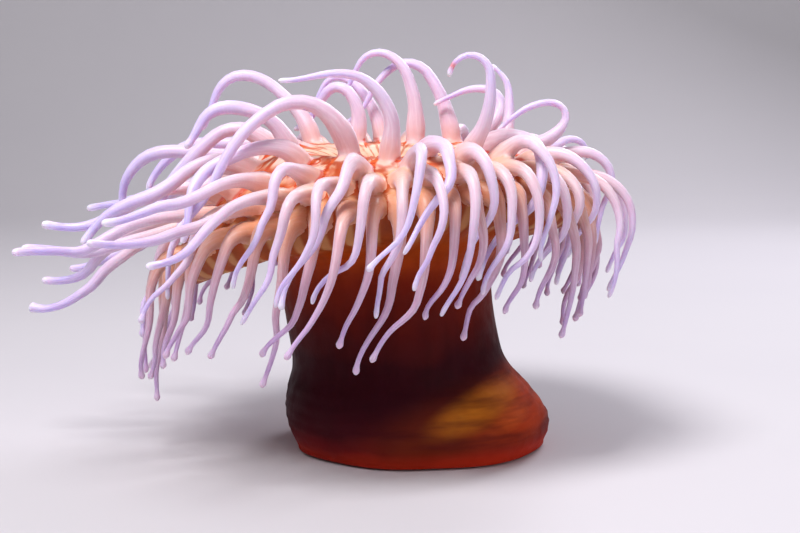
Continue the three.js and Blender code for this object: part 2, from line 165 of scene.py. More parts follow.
def warp(radius, height, phi):
    """Carries a point of the round body to the leaning, lobed one."""
    foot = (1 - smooth(height / FOOT_HEIGHT)) * smooth(radius / 40)
    crown = smooth((height - CROWN_START) / 22) * smooth((radius - 46) / 38)
    right = np.maximum(0, np.cos(phi))
    r = radius + foot * (4 * np.cos(phi) + 1.4 * np.cos(3 * phi + 1) + 0.8 * np.cos(7 * phi))
    r = r * (1 + crown * (LOBE_STRETCH * lobe(phi) - 0.03 + 0.025 * np.cos(3 * phi + 0.6)
                          + 0.02 * np.cos(5 * phi + 2)))
    z = height - crown * (2 + LOBE_DROP * lobe(phi) + 4 * right ** 2
                          + 2.5 * np.cos(4 * phi + 0.4))
    x = LEAN * smooth(height / LEAN_HEIGHT)
    return np.stack(np.broadcast_arrays(x + r * np.cos(phi), r * np.sin(phi), z), -1)


def skin(u, phi):
    """Point of the body's skin at a station and a direction in radians."""
    r, z = outline(u)
    return warp(r, z, phi)


def skin_normal(u, phi):
    h = 0.002
    forward = skin(u + h, phi) - skin(u - h, phi)
    around = skin(u, phi + h) - skin(u, phi - h)
    return unit(np.cross(around, forward))


# ---- tentacle centre lines ----

def thickness(kind, s):
    """Radius of a tentacle of one kind at fraction s of its length."""
    radius = kind["radius"]
    shaft = TIP_RADIUS + (0.9 * radius - TIP_RADIUS) * (1 - s) ** kind["taper"]
    swell = 0.18 * radius * bell(s, 0.09, 0.08)
    knob = 0.42 * bell(s, 0.965, 0.03)
    return shaft + swell + knob


def heading(degrees, depth):
    """Direction at an angle in the XZ plane, sloping away along Y."""
    a = math.radians(degrees)
    return unit(np.array([math.cos(a), depth, math.sin(a)]))


def blend(values, s):
    """Value at fraction s along an evenly spaced list."""
    x = s * (len(values) - 1)
    i = min(int(x), len(values) - 2)
    return values[i] + (values[i + 1] - values[i]) * (x - i)


def centre_line(start, course, length, k, jog):
    """Follows course(s) for a given length, with a slight waver toward the tip and one jog."""
    points = [start]
    phase = math.pi * scatter(k, 11)
    where = 0.66 + 0.14 * scatter(k, 13)
    for n in range(GRAIN):
        s = (n + 0.5) / GRAIN
        d = course(s)
        side = np.cross([0, 1, 0], d)
        bend = jog * math.exp(-((s - where) / 0.05) ** 2)
        d = d + side * (0.2 * s * math.sin(12 * s + phase) + bend)
        d = unit(d + np.array([0, 0.16 * s * math.cos(9 * s + 2 * phase), 0]))
        points.append(points[-1] + d * length / GRAIN)
    return np.array(points)


def posed_course(near, far, angles):
    """Headings of an inner tentacle, from the list it is given."""
    return lambda s: heading(blend(angles, s), near + (far - near) * s)


def reaches(cycle, phi, k):
    """Whether an outer tentacle reaches outward from the lobe instead of hanging."""
    return cycle["name"] != "fifth" and lobe(phi) > 0.25 and scatter(k, 8) > -0.1


def hanging_course(cycle, phi, normal, k):
    """Out over the rim, down, then a drift to the left; on the lobe some stretch outward."""
    out = np.array([math.cos(phi), math.sin(phi), 0])
    j = [scatter(k, c) for c in range(9)]
    left, right = float(lobe(phi)), max(0, math.cos(phi))
    spread, lift = cycle["spread"], cycle["lift"]
    outer = cycle["name"] == "fifth"
    arch = 0 if outer else right
    drift = (0.75 + 0.35 * j[1]) * (1 - 0.65 * right) * (1 - (0.8 if outer else 0.3) * left)

    def toward(o, z, x):
        return unit(out * o + np.array([x, 0, z]))

    if reaches(cycle, phi, k):
        level = 0.35 * j[5]
        keys = [
            toward(1, lift, 0),
            toward(0.9, -0.42 + 0.6 * level, 0),
            toward(0.85, -0.42 + level, 0),
            toward(1, -0.18 + 0.8 * level, 0),
            toward(1, 0.02 + 0.12 * j[6], 0),
        ]
    else:
        keys = [
            toward(spread, lift + 0.1 * arch + 0.15 * j[2], -0.05),
            toward(0.3 * spread + 0.4 * arch + 0.15 * j[3], -1 + 0.5 * arch, -0.15 * drift),
            toward(0.1 * j[4] + 0.1 * arch, -1, -0.4 * drift),
            toward(0.12 * j[5], -0.75, -drift),
            toward(0.1 * j[6], -1, -0.5 * drift),
        ]
    keys = [unit(0.5 * normal + out)] + keys
    late = 1 + 0.35 * j[7]
    return lambda s: unit(blend(keys, s ** late))


def plant_tentacles():
    """All tentacles, cycle by cycle, each with its measures and its centre line."""
    tentacles = []
    for cycle in CYCLES:
        for sector in range(SECTORS):
            for place in cycle["places"]:
                k = len(tentacles) + 1
                phi = math.radians(TURN + 360 / SECTORS * (sector + place))
                normal = skin_normal(cycle["station"], phi)
                start = skin(cycle["station"], phi) - normal * SINK
                if cycle["name"] in POSES:
                    length, near, far, angles = POSES[cycle["name"]][sector]
                    course, jog = posed_course(near, far, angles), 0
                else:
                    length = cycle["length"] * (1 + 0.12 * scatter(k, 0))
                    length *= 1.27 if reaches(cycle, phi, k) else 1
                    length *= 1 - 0.13 * abs(math.cos(phi))
                    course, jog = hanging_course(cycle, phi, normal, k), 0.45 * scatter(k, 12)
                full = cycle["name"] in POSES or reaches(cycle, phi, k)
                fullness = FULLNESS * max(0, -math.cos(phi)) if full else 0
                tentacles.append(dict(
                    k=k, cycle=cycle["name"], radius=cycle["radius"], taper=cycle["taper"],
                    station=cycle["station"], phi=phi, normal=normal, root=start + normal * SINK,
                    length=length, fullness=fullness,
                    points=centre_line(start, course, length, k, jog)))
    return tentacles


def close_pairs(here, beads, girth, owner):
    """Numbers of the points that come close to another tentacle's point, and to a bead."""
    pairs, bead_pairs = [], []
    for a in range(0, len(here), BLOCK):
        block = here[a:a + BLOCK]
        mine = girth[a:a + BLOCK, None]
        far = np.linalg.norm(block[:, None] - here[None], axis=2)
        far -= mine + girth[None] + CLEARANCE + PAIR_REACH
        far[owner[a:a + BLOCK, None] >= owner[None]] = 1
        i, j = np.nonzero(far < 0)
        pairs.append(np.stack([i + a, j]))
        far = np.linalg.norm(block[:, None] - beads[None], axis=2)
        i, j = np.nonzero(far < mine + BEAD + CLEARANCE + BEAD_REACH)
        bead_pairs.append(np.stack([i + a, j]))
    return (*np.concatenate(pairs, 1), *np.concatenate(bead_pairs, 1))


def shove(gap, radii):
    """Steps that part pairs of points, from their gaps and the sums of their radii."""
    distance = np.linalg.norm(gap, axis=1) + 1e-9
    lack = np.maximum(radii + CLEARANCE - distance, 0)
    return gap * (lack * PUSH / distance)[:, None]


def settle(tentacles):
    """Neighbours push one another apart; a tentacle moves less toward its root and keeps its
    length. Beads just under the skin keep the tentacles out of the body."""
    u, phi = np.meshgrid(np.arange(7.5, 17.01, 0.5), rad(np.arange(0, 360, 10.0)), indexing="ij")
    beads = (skin(u, phi) - BEAD * skin_normal(u, phi)).reshape(-1, 3)
    home = np.array([t["points"] for t in tentacles])
    count, n = home.shape[:2]
    s = np.linspace(0, 1, n)
    girth = np.array([thickness(t, s) for t in tentacles]).ravel()
    ease = np.tile(smooth((s - HELD) / EASE), count)
    step = np.array([t["length"] / GRAIN for t in tentacles])[:, None]
    owner = np.repeat(np.arange(count), n)
    line = home.copy()
    for turn in range(ROUNDS):
        here = line.reshape(-1, 3)
        if turn % PAIRS_EVERY == 0:
            i, j, bi, bj = close_pairs(here, beads, girth, owner)
        push = np.zeros_like(here)
        apart = shove(here[i] - here[j], girth[i] + girth[j])
        np.add.at(push, i, apart)
        np.add.at(push, j, -apart)
        np.add.at(push, bi, shove(here[bi] - beads[bj], girth[bi] + BEAD))
        drift = (here + push * ease[:, None]).reshape(count, n, 3) - home
        calm = drift.copy()
        calm[:, 1:-1] = 0.5 * drift[:, 1:-1] + 0.25 * (drift[:, :-2] + drift[:, 2:])
        line = home + calm
        for q in range(1, n):
            line[:, q] = line[:, q - 1] + unit(line[:, q] - line[:, q - 1]) * step
    for t, points in zip(tentacles, line):
        t["points"] = points


def along(points, s):
    """Smooth curve through evenly spaced points, at fractions s of its length."""
    last = len(points) - 1
    x = np.clip(np.asarray(s, float), 0, 1) * last
    i = np.clip(np.floor(x).astype(int), 0, last - 1)
    full = np.vstack([2 * points[0] - points[1], points, 2 * points[-1] - points[-2]])
    return spline(*(full[i + k] for k in (0, 1, 2, 3)), (x - i)[:, None])


# ---- meshes ----

BODY, TENTACLE = 0, 1  # material slots of the skin


def make_object(name, vertices, faces, slot=BODY):
    """Mesh object from vertices in millimetres, all in one material slot."""
    mesh = bpy.data.meshes.new(name)
    mesh.from_pydata((np.asarray(vertices) * MM).tolist(), [], faces)
    mesh.polygons.foreach_set("material_index", np.full(len(faces), slot, np.int32))
    mesh.update()
    obj = bpy.data.objects.new(name, mesh)
    bpy.context.scene.collection.objects.link(obj)
    return obj


def closed_tube(rings, columns):
    """Faces over rings of points. The two points that close the ends come after the rings."""
    faces = []
    for i in range(rings - 1):
        for c in range(columns):
            d = (c + 1) % columns
            a = i * columns
            faces.append((a + c, a + d, a + columns + d, a + columns + c))
    first_end = rings * columns
    last = first_end - columns
    for c in range(columns):
        d = (c + 1) % columns
        faces.append((first_end, d, c))
        faces.append((last + c, last + d, first_end + 1))
    return faces


# ---- skin of the body ----

BODY_COLUMNS = 220    # points in a ring of the body
ROW_SPANS = [(1, 3, 9), (3, 9, 37), (9, 12, 15), (12, 17, 43), (17, 20, 14)]
THROAT = 20.6         # station of the last ring, low in the throat
FLAT_FOOT = 1.05      # the underside is flat up to this station
MOUND_HEIGHT = 1.9    # height of the swellings under the tentacles
MOUND_AHEAD = 2.5     # they lie this far toward the rim from their root
MOUND_LENGTH = 1.9    # in radii of the root
MOUND_WIDTH = 0.95
MOUND_DEPTH = 8


def body_rows():
    """Stations of the rings, close together where the skin is finely shaped."""
    spans = [np.linspace(start, end, count)[:-1] for start, end, count in ROW_SPANS]
    return np.concatenate([[0.5, 0.9], *spans, [20, THROAT]])


def relief(u, phi, z):
    """Small folds and ribs of the skin, in millimetres along the normal."""
    wave = np.sin(3 * phi + 0.15 * z) + 0.6 * np.sin(7 * phi - 0.1 * z + 1)
    foot = smooth((38 - z) / 30) * smooth((u - 1.6) / 0.8)
    depth = 0.2 + 0.14 * np.sin(2 * phi + 0.4)
    folds = depth * np.sin(2 * math.pi * z / 4.6 + 1.7 * wave) * foot
    swells = 0.5 * np.sin(9 * phi + 0.12 * z + np.sin(4 * phi)) * np.sin(0.16 * z + phi) * foot
    flutes = 0.35 * np.cos(40 * (phi - rad(TURN))) * smooth((u - 7) / 3) * smooth((13 - u) / 2)
    pleats = 0.7 * np.cos(24 * phi + 0.8 * np.sin(5 * phi))
    pleats *= smooth((u - 16.9) / 0.8) * smooth((20.8 - u) / 0.8)
    grooves = 0.3 * np.cos(20 * (phi - rad(TURN))) * smooth((u - 14.6) / 0.8)
    grooves *= smooth((17.2 - u) / 1)
    return folds + swells + flutes + pleats + grooves


def mounds(points, tentacles):
    """Low swellings of the disc that the tentacles stand on, drawn out toward the rim: 0 to 1."""
    flat = np.ones(points.shape[:-1])
    for t in tentacles:
        out = np.array([math.cos(t["phi"]), math.sin(t["phi"]), 0])
        out = unit(out - t["normal"] * np.dot(out, t["normal"]))
        off = points - t["root"]
        ahead, aside = off @ out - MOUND_AHEAD, off @ np.cross(t["normal"], out)
        spread = ((ahead / (MOUND_LENGTH * t["radius"])) ** 2
                  + (aside / (MOUND_WIDTH * t["radius"])) ** 2)
        flat *= 1 - np.exp(-spread - (off @ t["normal"] / MOUND_DEPTH) ** 2)
    return 1 - flat


def body_object(tentacles):
    """Foot, column, rim, disc and throat as one closed mesh, before the tentacles are joined on."""
    rows = body_rows()
    phi = np.linspace(0, 2 * math.pi, BODY_COLUMNS, endpoint=False)
    u, p = np.meshgrid(rows, phi, indexing="ij")
    points = skin(u, p)
    lift = relief(u, p, outline(u)[1]) + MOUND_HEIGHT * mounds(points, tentacles)
    lift = np.where(u < FLAT_FOOT, 0, lift)
    points = points + skin_normal(u, p) * lift[..., None]
    points[..., 2] = np.maximum(points[..., 2], 0)
    ends = [[0, 0, 0], [LEAN, 0, OUTLINE[-1, 1] + 1.5]]
    faces = closed_tube(len(rows), BODY_COLUMNS)
    return make_object("anemone", np.vstack([points.reshape(-1, 3), ends]), faces)


# ---- skin of the tentacles ----

SIDES = 16            # points in a ring of a tentacle
RINGS = np.concatenate([  # where the rings lie, as fractions of the length
    [0, 0.014, 0.028, 0.044, 0.062], np.linspace(0.085, 0.9, 20),
    [0.918, 0.932, 0.946, 0.958, 0.969, 0.979, 0.986],
])
BLUNT = 1.5           # depth of the rounded end
CAP = [0.0, 0.45, 0.75, 0.93]  # its rings, as parts of that depth
SLIMMING = 0.14       # past the root a tentacle is slimmer by this share
FULLNESS = 0.65       # the ones that lie to the left are fuller toward the tip
ROOTS = {             # how far a cycle's roots are pinched in, and flared
    "first": (0.25, 0.0), "second": (0.25, 0.0), "third": (0.1, 0.22),
    "fourth": (-0.06, 0.22), "fifth": (-0.06, 0.22),
}
SIDE_HINT = [0, 1, 0.3]  # a tentacle's sides are told apart from this direction


def girths(t, s, cap):
    """Radii of one tentacle's rings, shaped at the root, along the shaft and at the tip."""
    pinch, flare = ROOTS[t["cycle"]]
    from_root = s * t["length"]
    from_tip = (1 - s) * t["length"]
    girth = thickness(t, s) * np.sqrt(1 - cap ** 2)
    girth *= 1 - pinch * bell(from_root, 1, 3.5)
    girth *= 1 + flare * bell(from_root, 0, 9)
    girth *= 1 - SLIMMING * smooth(s / 0.3) + t["fullness"] * smooth((s - 0.3) / 0.4)
    girth *= 1 + 0.2 * bell(from_tip, 1.4, 1.1) - 0.1 * bell(from_tip, 4.2, 1.4)
    return girth


def tube(t):
    """Round tapering tube of one tentacle: its points and faces."""
    blunt = BLUNT / t["length"]
    s = np.concatenate([RINGS[RINGS < 1 - blunt - 0.004], 1 - blunt + blunt * np.array(CAP)])
    cap = np.concatenate([np.zeros(len(s) - len(CAP)), CAP])
    centre = along(t["points"], s)
    before = along(t["points"], np.maximum(s - 0.01, 0))
    ahead = unit(along(t["points"], np.minimum(s + 0.01, 1)) - before)
    side = unit(np.cross(SIDE_HINT, ahead[0]))
    angle = 2 * math.pi * np.arange(SIDES) / SIDES
    points = []
    for c, d, g in zip(centre, ahead, girths(t, s, cap)):
        side = unit(side - d * np.dot(side, d))
        other = np.cross(d, side)
        points.append(c + g * (np.cos(angle)[:, None] * side + np.sin(angle)[:, None] * other))
    points = np.vstack(points + [centre[:1], t["points"][-1:]])
    return points, closed_tube(len(s), SIDES)


def cycle_object(name, tentacles, materials):
    """The tubes of one cycle as one object."""
    points, faces, start = [], [], 0
    for t in tentacles:
        if t["cycle"] == name:
            p, f = tube(t)
            points.append(p)
            faces += [tuple(v + start for v in face) for face in f]
            start += len(p)
    tubes = make_object("tubes_" + name, np.vstack(points), faces, TENTACLE)
    for material in materials:
        tubes.data.materials.append(material)
    return tubes


def join_tentacles(body, tentacles):
    """Unites the tubes with the body, one cycle at a time, into a single closed skin."""
    for cycle in CYCLES:
        tubes = cycle_object(cycle["name"], tentacles, body.data.materials)
        union = body.modifiers.new("join", "BOOLEAN")
        union.operation = "UNION"
        union.solver = "MANIFOLD"
        union.object = tubes
        graph = bpy.context.evaluated_depsgraph_get()
        joined = bpy.data.meshes.new_from_object(body.evaluated_get(graph))
        body.modifiers.clear()
        old = body.data
        body.data = joined
        bpy.data.meshes.remove(old)
        bpy.data.meshes.remove(tubes.data)


# ---- creases ----

SLIVER = 0.03         # edges shorter than this are closed up
CREASE_ANGLE = 0.45   # a fold sharper than this, in radians, is rounded
CREASE_FLOOR = 70     # height above which that is done
CREASE_RINGS = (0.8, 0.6, 0.4, 0.2)  # how strongly the rings of points round it move
CREASE_PASSES = 9


def mend(bm):
    """Leaves whole triangles only: no slivers, no faces on top of each other and no open edges."""
    bmesh.ops.dissolve_degenerate(bm, dist=SLIVER * MM, edges=bm.edges)
    bmesh.ops.triangulate(bm, faces=bm.faces)
    twins = {}
    for face in bm.faces:
        twins.setdefault(frozenset(face.verts), []).append(face)
    flaps = [face for group in twins.values() if len(group) > 1 for face in group]
    bmesh.ops.delete(bm, geom=flaps, context="FACES")
    bmesh.ops.delete(bm, geom=[e for e in bm.edges if e.is_wire], context="EDGES")
    rim = [e for e in bm.edges if e.is_boundary]
    bmesh.ops.triangulate(bm, faces=bmesh.ops.edgeloop_fill(bm, edges=rim)["faces"])


def soften_creases(body):
    """Rounds the crease where a tentacle stands on the disc."""
    bm = bmesh.new()
    bm.from_mesh(body.data)
    mend(bm)
    folded = [e for e in bm.edges if len(e.link_faces) == 2 and e.calc_face_angle(0) > CREASE_ANGLE]
    ring = {v for e in folded for v in e.verts if v.co.z > CREASE_FLOOR * MM}
    near = dict.fromkeys(ring, 1.0)
    for weight in CREASE_RINGS:
        ring = {e.other_vert(v) for v in ring for e in v.link_edges} - near.keys()
        near.update(dict.fromkeys(ring, weight))
    for _ in range(CREASE_PASSES):
        moved = {}
        for v, weight in near.items():
            others = [e.other_vert(v).co for e in v.link_edges]
            mean = sum(others, Vector()) / len(others)
            moved[v] = v.co.lerp(mean, 0.5 * weight)
        for v, co in moved.items():
            v.co = co
    bm.to_mesh(body.data)
    bm.free()


# ---- measures for the colours ----

LINE_PATH = np.array([  # outward from the root (mm), aside (root radii), width
    [-10, 0.5, 0.4], [-5, 0.7, 1.1], [-1, 0.85, 1.9], [3, 0.95, 2.1], [8, 1.0, 1.4], [15, 1.1, 0.6],
])
LINED = ("first", "second", "third")  # cycles whose roots have scarlet lines and petals
STAINED = SECTORS + 8  # the ninth tentacle of the second cycle has a stained tip
SHAFT_STEPS = 121     # points of a centre line that the skin is compared with
NEAR_POINTS = 6       # the closest of them are tried
FAR = 40.0            # stands for "no root near"
ROOT_HEIGHT = 12      # a root counts up to this far above and below its own place


def scarlet_lines(tentacles):
    """Curves that edge both flanks of the inner roots: points, sideways directions, widths."""
    stations = np.linspace(10, 18, 161)
    r, z = outline(stations)
    arc = np.concatenate([[0], np.cumsum(np.hypot(np.diff(r), np.diff(z)))])
    steps = np.linspace(0, len(LINE_PATH) - 1, 41)
    out, aside, width = (np.interp(steps, range(len(LINE_PATH)), c) for c in LINE_PATH.T)
    points, sideways = [], []
    for t in tentacles:
        if t["cycle"] not in LINED:
            continue
        at = np.interp(np.interp(t["station"], stations, arc) - out, arc, stations)
        for side in (-1, 1):
            phi = t["phi"] + side * aside * t["radius"] / outline(at)[0]
            line = skin(at, phi)
            points.append(line)
            sideways.append(unit(np.cross(np.gradient(line, axis=0), skin_normal(at, phi))))
    return np.vstack(points), np.vstack(sideways), np.tile(width, len(points))


def tree_of(points):
    tree = KDTree(len(points))
    for i, co in enumerate(points):
        tree.insert(co, i)
    tree.balance()
    return tree


def nearest(points, p):
    """Number of the point that lies nearest to each of p."""
    tree = tree_of(points)
    return np.array([tree.find(co)[1] for co in p])


def shaft_places(p, tentacles):
    """The tentacle each point lies on, how far along it, and how far round as a cosine and sine."""
    s = np.linspace(0, 1, SHAFT_STEPS)
    lines = np.array([along(t["points"], s) for t in tentacles])
    girth = np.array([thickness(t, s) for t in tentacles]).ravel()
    tree = tree_of(lines.reshape(-1, 3))
    which = np.zeros(len(p), int)
    where = np.zeros(len(p))
    for v, co in enumerate(p):
        best = min(tree.find_n(co, NEAR_POINTS), key=lambda hit: hit[2] - girth[hit[1]])
        which[v], where[v] = divmod(best[1], SHAFT_STEPS)
    where /= SHAFT_STEPS - 1
    around = np.zeros((len(p), 2))
    for i, line in enumerate(lines):
        mine = np.nonzero(which == i)[0]
        at = np.clip((where[mine] * (SHAFT_STEPS - 1)).astype(int), 1, SHAFT_STEPS - 2)
        ahead = unit(line[at + 1] - line[at - 1])
        side = unit(np.cross(np.broadcast_to(SIDE_HINT, ahead.shape), ahead))
        out = p[mine] - line[at]
        turn = np.arctan2(np.sum(out * np.cross(ahead, side), 1), np.sum(out * side, 1))
        around[mine] = np.stack([np.cos(turn), np.sin(turn)], 1)
    return which, where, around


def root_places(p, tentacles):
    """Clearance from the nearest root, and how close to midway between two roots: 0 to 1."""
    gap = np.full(len(p), FAR / 2)
    first = np.full(len(p), FAR)
    second = first.copy()
    for t in tentacles:
        d = p - t["root"]
        h = d @ t["normal"]
        reach = np.linalg.norm(d - h[:, None] * t["normal"], axis=1)
        reach[np.abs(h) > ROOT_HEIGHT] = FAR
        gap = np.minimum(gap, reach - t["radius"])
        second = np.minimum(second, np.maximum(first, reach))
        first = np.minimum(first, reach)
    return gap, 2 * first / (first + second)


def line_places(p, tentacles):
    """Distance across the nearest scarlet line, signed and in widths, and distance from it."""
    points, sideways, width = scarlet_lines(tentacles)
    i = nearest(points, p)
    off = p - points[i]
    return np.sum(off * sideways[i], 1) / width[i], np.linalg.norm(off, axis=1)


def stations_of(p):
    """Station of the outline that each point is nearest to."""
    u, phi = np.meshgrid(np.linspace(1, THROAT, 393), rad(np.arange(0, 360, 3.0)), indexing="ij")
    return u.ravel()[nearest(skin(u, phi).reshape(-1, 3), p)]


def measure(body, tentacles):
    """Gives every point of the skin the numbers that its colours are worked out from."""
    p = np.empty(len(body.data.vertices) * 3)
    body.data.vertices.foreach_get("co", p)
    p = p.reshape(-1, 3) / MM
    which, where, around = shaft_places(p, tentacles)
    gap, cleft = root_places(p, tentacles)
    line_side, line_far = line_places(p, tentacles)
    order = [cycle["name"] for cycle in CYCLES]
    ranks = np.array([order.index(t["cycle"]) / (len(order) - 1) for t in tentacles])
    values = {
        "skirt": mounds(p, [t for t in tentacles if t["cycle"] in LINED]),
        "along": where,
        "round_x": around[:, 0], "round_y": around[:, 1],
        "gap": gap, "cleft": cleft,
        "line_side": line_side, "line_far": line_far,
        "station": stations_of(p),
        "cycle": ranks[which],
        "tint": np.array([scatter(t["k"], 20) for t in tentacles])[which],
        "band": bell(where, 0.93, 0.025) * (which == STAINED),
        "span": where * np.array([t["length"] for t in tentacles])[which],
    }
    for name, data in values.items():
        attribute = body.data.attributes.new(name, "FLOAT", "POINT")
        attribute.data.foreach_set("value", data.astype(np.float32))


# ---- shader nodes ----

def tone(code):
    """Linear colour from an sRGB hex code."""
    c = np.array([int(code[i:i + 2], 16) / 255 for i in (1, 3, 5)])
    c = np.where(c <= 0.04045, c / 12.92, ((c + 0.055) / 1.055) ** 2.4)
    return (*c, 1)


def node(kind, inputs, tree=None, **settings):
    """New node. An input is a value, a colour code or a node's output, whose tree the node joins."""
    linked = [value for value in inputs.values() if isinstance(value, bpy.types.NodeSocket)]
    tree = tree or linked[0].id_data
    made = tree.nodes.new(kind)
    for key, value in settings.items():
        setattr(made, key, value)
    for key, value in inputs.items():
        if isinstance(value, bpy.types.NodeSocket):
            tree.links.new(value, made.inputs[key])
        else:
            made.inputs[key].default_value = tone(value) if isinstance(value, str) else value
    return made


def calc(operation, a, b=0.0, clamp=False):
    return node("ShaderNodeMath", {0: a, 1: b}, operation=operation, use_clamp=clamp).outputs[0]


def plus(a, b):
    return calc("ADD", a, b)


def minus(a, b):
    return calc("SUBTRACT", a, b)


def times(a, b, clamp=False):
    return calc("MULTIPLY", a, b, clamp)


def remap(value, low, high, out_low=0.0, out_high=1.0):
    """Smooth step from one output to the other as the value goes from low to high."""
    return node("ShaderNodeMapRange", {0: value, 1: low, 2: high, 3: out_low, 4: out_high},
                interpolation_type="SMOOTHSTEP").outputs[0]


def between(value, zone):
    """Mask over a zone: where it starts, is full, begins to fade and has gone."""
    start, full, fade, end = zone
    return times(remap(value, start, full), remap(value, end, fade))


def mix(factor, a, b, mode="MIX"):
    """Mix of two colours, which are a Mix node's sockets 6 and 7."""
    return node("ShaderNodeMix", {0: factor, 6: a, 7: b}, data_type="RGBA",
                blend_type=mode).outputs[2]


def mix_values(factor, a, b):
    """Mix of two plain values, which are a Mix node's sockets 2 and 3."""
    return node("ShaderNodeMix", {0: factor, 2: a, 3: b}).outputs[0]


def noise(vector, scale, detail=2.0, roughness=0.5):
    inputs = {"Vector": vector, "Scale": scale, "Detail": detail, "Roughness": roughness}
    return node("ShaderNodeTexNoise", inputs).outputs[0]


def wander(vector, scale, reach):
    """Noise that wanders to either side of zero."""
    return times(minus(noise(vector, scale), 0.5), reach)


def read(tree, name):
    """One of the skin's measures."""
    return node("ShaderNodeAttribute", {}, tree, attribute_name=name).outputs["Fac"]


def ramp(factor, stops):
    made = node("ShaderNodeValToRGB", {0: factor})
    band = made.color_ramp
    while len(band.elements) < len(stops):
        band.elements.new(0.5)
    for element, (at, code) in zip(band.elements, stops):
        element.position = at
        element.color = tone(code)
    return made.outputs[0]


def combine(x, y, z):
    return node("ShaderNodeCombineXYZ", {0: x, 1: y, 2: z}).outputs[0]


def stretched(place, scale, rotation=(0.0, 0.0, 0.0)):
    inputs = {"Vector": place, "Rotation": rotation, "Scale": scale}
    return node("ShaderNodeMapping", inputs).outputs[0]


def patch(place, centre, reach, core=0.15):
    """Mask of one soft patch on the skin: 1 in its middle, 0 past its reach (metres)."""
    away = node("ShaderNodeVectorMath", {0: place, 1: centre}, operation="SUBTRACT").outputs[0]
    away = node("ShaderNodeVectorMath", {0: away, 1: reach}, operation="DIVIDE").outputs[0]
    far = node("ShaderNodeVectorMath", {0: away}, operation="LENGTH").outputs["Value"]
    return remap(far, core, 1.0, 1.0, 0.0)


# ---- effects for both skins ----

def new_group(name, inputs, output):
    """Empty node group whose inputs are a place and named ones: its tree and its input sockets."""
    tree = bpy.data.node_groups.new(name, "ShaderNodeTree")
    tree.interface.new_socket("Place", in_out="INPUT", socket_type="NodeSocketVector")
    for label, start in inputs.items():
        kind = "NodeSocketColor" if isinstance(start, tuple) else "NodeSocketFloat"
        tree.interface.new_socket(label, in_out="INPUT", socket_type=kind).default_value = start
    kind = "NodeSocketColor" if output == "Colour" else "NodeSocketFloat"
    tree.interface.new_socket(output, in_out="OUTPUT", socket_type=kind)
    return tree, tree.nodes.new("NodeGroupInput").outputs


def finish_group(tree, value):
    tree.links.new(value, tree.nodes.new("NodeGroupOutput").inputs[0])
    return tree


def use(group, inputs):
    """Places a group in a material and gives its output."""
    return node("ShaderNodeGroup", inputs, node_tree=group).outputs[0]


def mottle_group():
    """Soft cloudy spots of a second colour."""
    tree, given = new_group("Soft Mottle", {
        "Colour": (1, 1, 1, 1), "Spots": (1, 1, 1, 1), "Scale": 60.0, "Strength": 0.3}, "Colour")
    cloud = noise(given["Place"], given["Scale"], 3.0, 0.55)
    mask = times(remap(cloud, 0.38, 0.68), given["Strength"], True)
    return finish_group(tree, mix(mask, given["Colour"], given["Spots"]))


def relief_group():
    """Fine grain and soft folds for the bump of the skin."""
    tree, given = new_group("Skin Relief", {
        "Grain Scale": 900.0, "Fold Scale": 160.0, "Fold Share": 0.5}, "Height")
    grain = noise(given["Place"], given["Grain Scale"], 3.0, 0.6)
    folds = noise(given["Place"], given["Fold Scale"], 1.0, 0.4)
    return finish_group(tree, mix_values(given["Fold Share"], grain, folds))


def moisture_group():
    """Roughness that drifts between moist and drier patches."""
    tree, given = new_group("Moist Sheen", {"Wet": 0.25, "Dry": 0.5}, "Roughness")
    patches = remap(noise(given["Place"], 120.0), 0.35, 0.65)
    return finish_group(tree, mix_values(patches, given["Wet"], given["Dry"]))


def lines_group():
    """Scarlet lines that edge both flanks of a root and run on over the disc."""
    tree, given = new_group("Scarlet Lines", {"Across": 5.0, "Away": 5.0}, "Mask")
    across = plus(given["Across"], wander(given["Place"], 140.0, 2.2))
    stripe = remap(calc("ABSOLUTE", across), 0.45, 1.25, 1.0, 0.0)
    close = remap(given["Away"], 2.4, 3.4, 1.0, 0.0)
    fade = remap(noise(given["Place"], 90.0, 1.0), 0.3, 0.5, 0.45, 1.0)
    return finish_group(tree, times(times(stripe, close), fade, True))


def cleft_group():
    """Thin ragged line midway between two roots."""
    tree, given = new_group("Root Clefts", {"Midway": 0.0}, "Mask")
    line = remap(plus(given["Midway"], wander(given["Place"], 160.0, 0.2)), 0.8, 0.96)
    fade = remap(noise(given["Place"], 80.0, 1.0), 0.35, 0.55, 0.4, 0.9)
    return finish_group(tree, times(line, fade, True))


def root_group():
    """Colour at the crease between a tentacle and the disc: blush inside, cream at the rim, and tan
    painted shade on the last cycle.
    """
    tree, given = new_group("Root Blush and Painted Shade", {"Cycle": 0.5}, "Colour")
    # the last stop, for the fifth cycle, is darkened to tan: painted shade under the crown
    base = ramp(given["Cycle"], [
        (0.0, "#e6bfbe"), (0.3, "#ebc2b6"), (0.55, "#efc4aa"), (0.8, "#eab590"), (1.0, "#db9c70")])
    cloud = remap(noise(given["Place"], 90.0), 0.4, 0.7, 0.0, 0.3)
    return finish_group(tree, mix(cloud, base, "#e3a27e"))


def line_mask(tree, groups, place):
    across, away = read(tree, "line_side"), read(tree, "line_far")
    return use(groups["lines"], {"Place": place, "Across": across, "Away": away})


def cleft_mask(tree, groups, place):
    return use(groups["cleft"], {"Place": place, "Midway": read(tree, "cleft")})


def root_colour(tree, groups, place):
    return use(groups["root"], {"Place": place, "Cycle": read(tree, "cycle")})


def mottled(groups, place, colour, share, code, scale, strength):
    """Spots of the same colour, darkened toward another."""
    spots = mix(share, colour, code, "MULTIPLY")
    return use(groups["mottle"], {"Place": place, "Colour": colour, "Spots": spots,
                                  "Scale": scale, "Strength": strength})


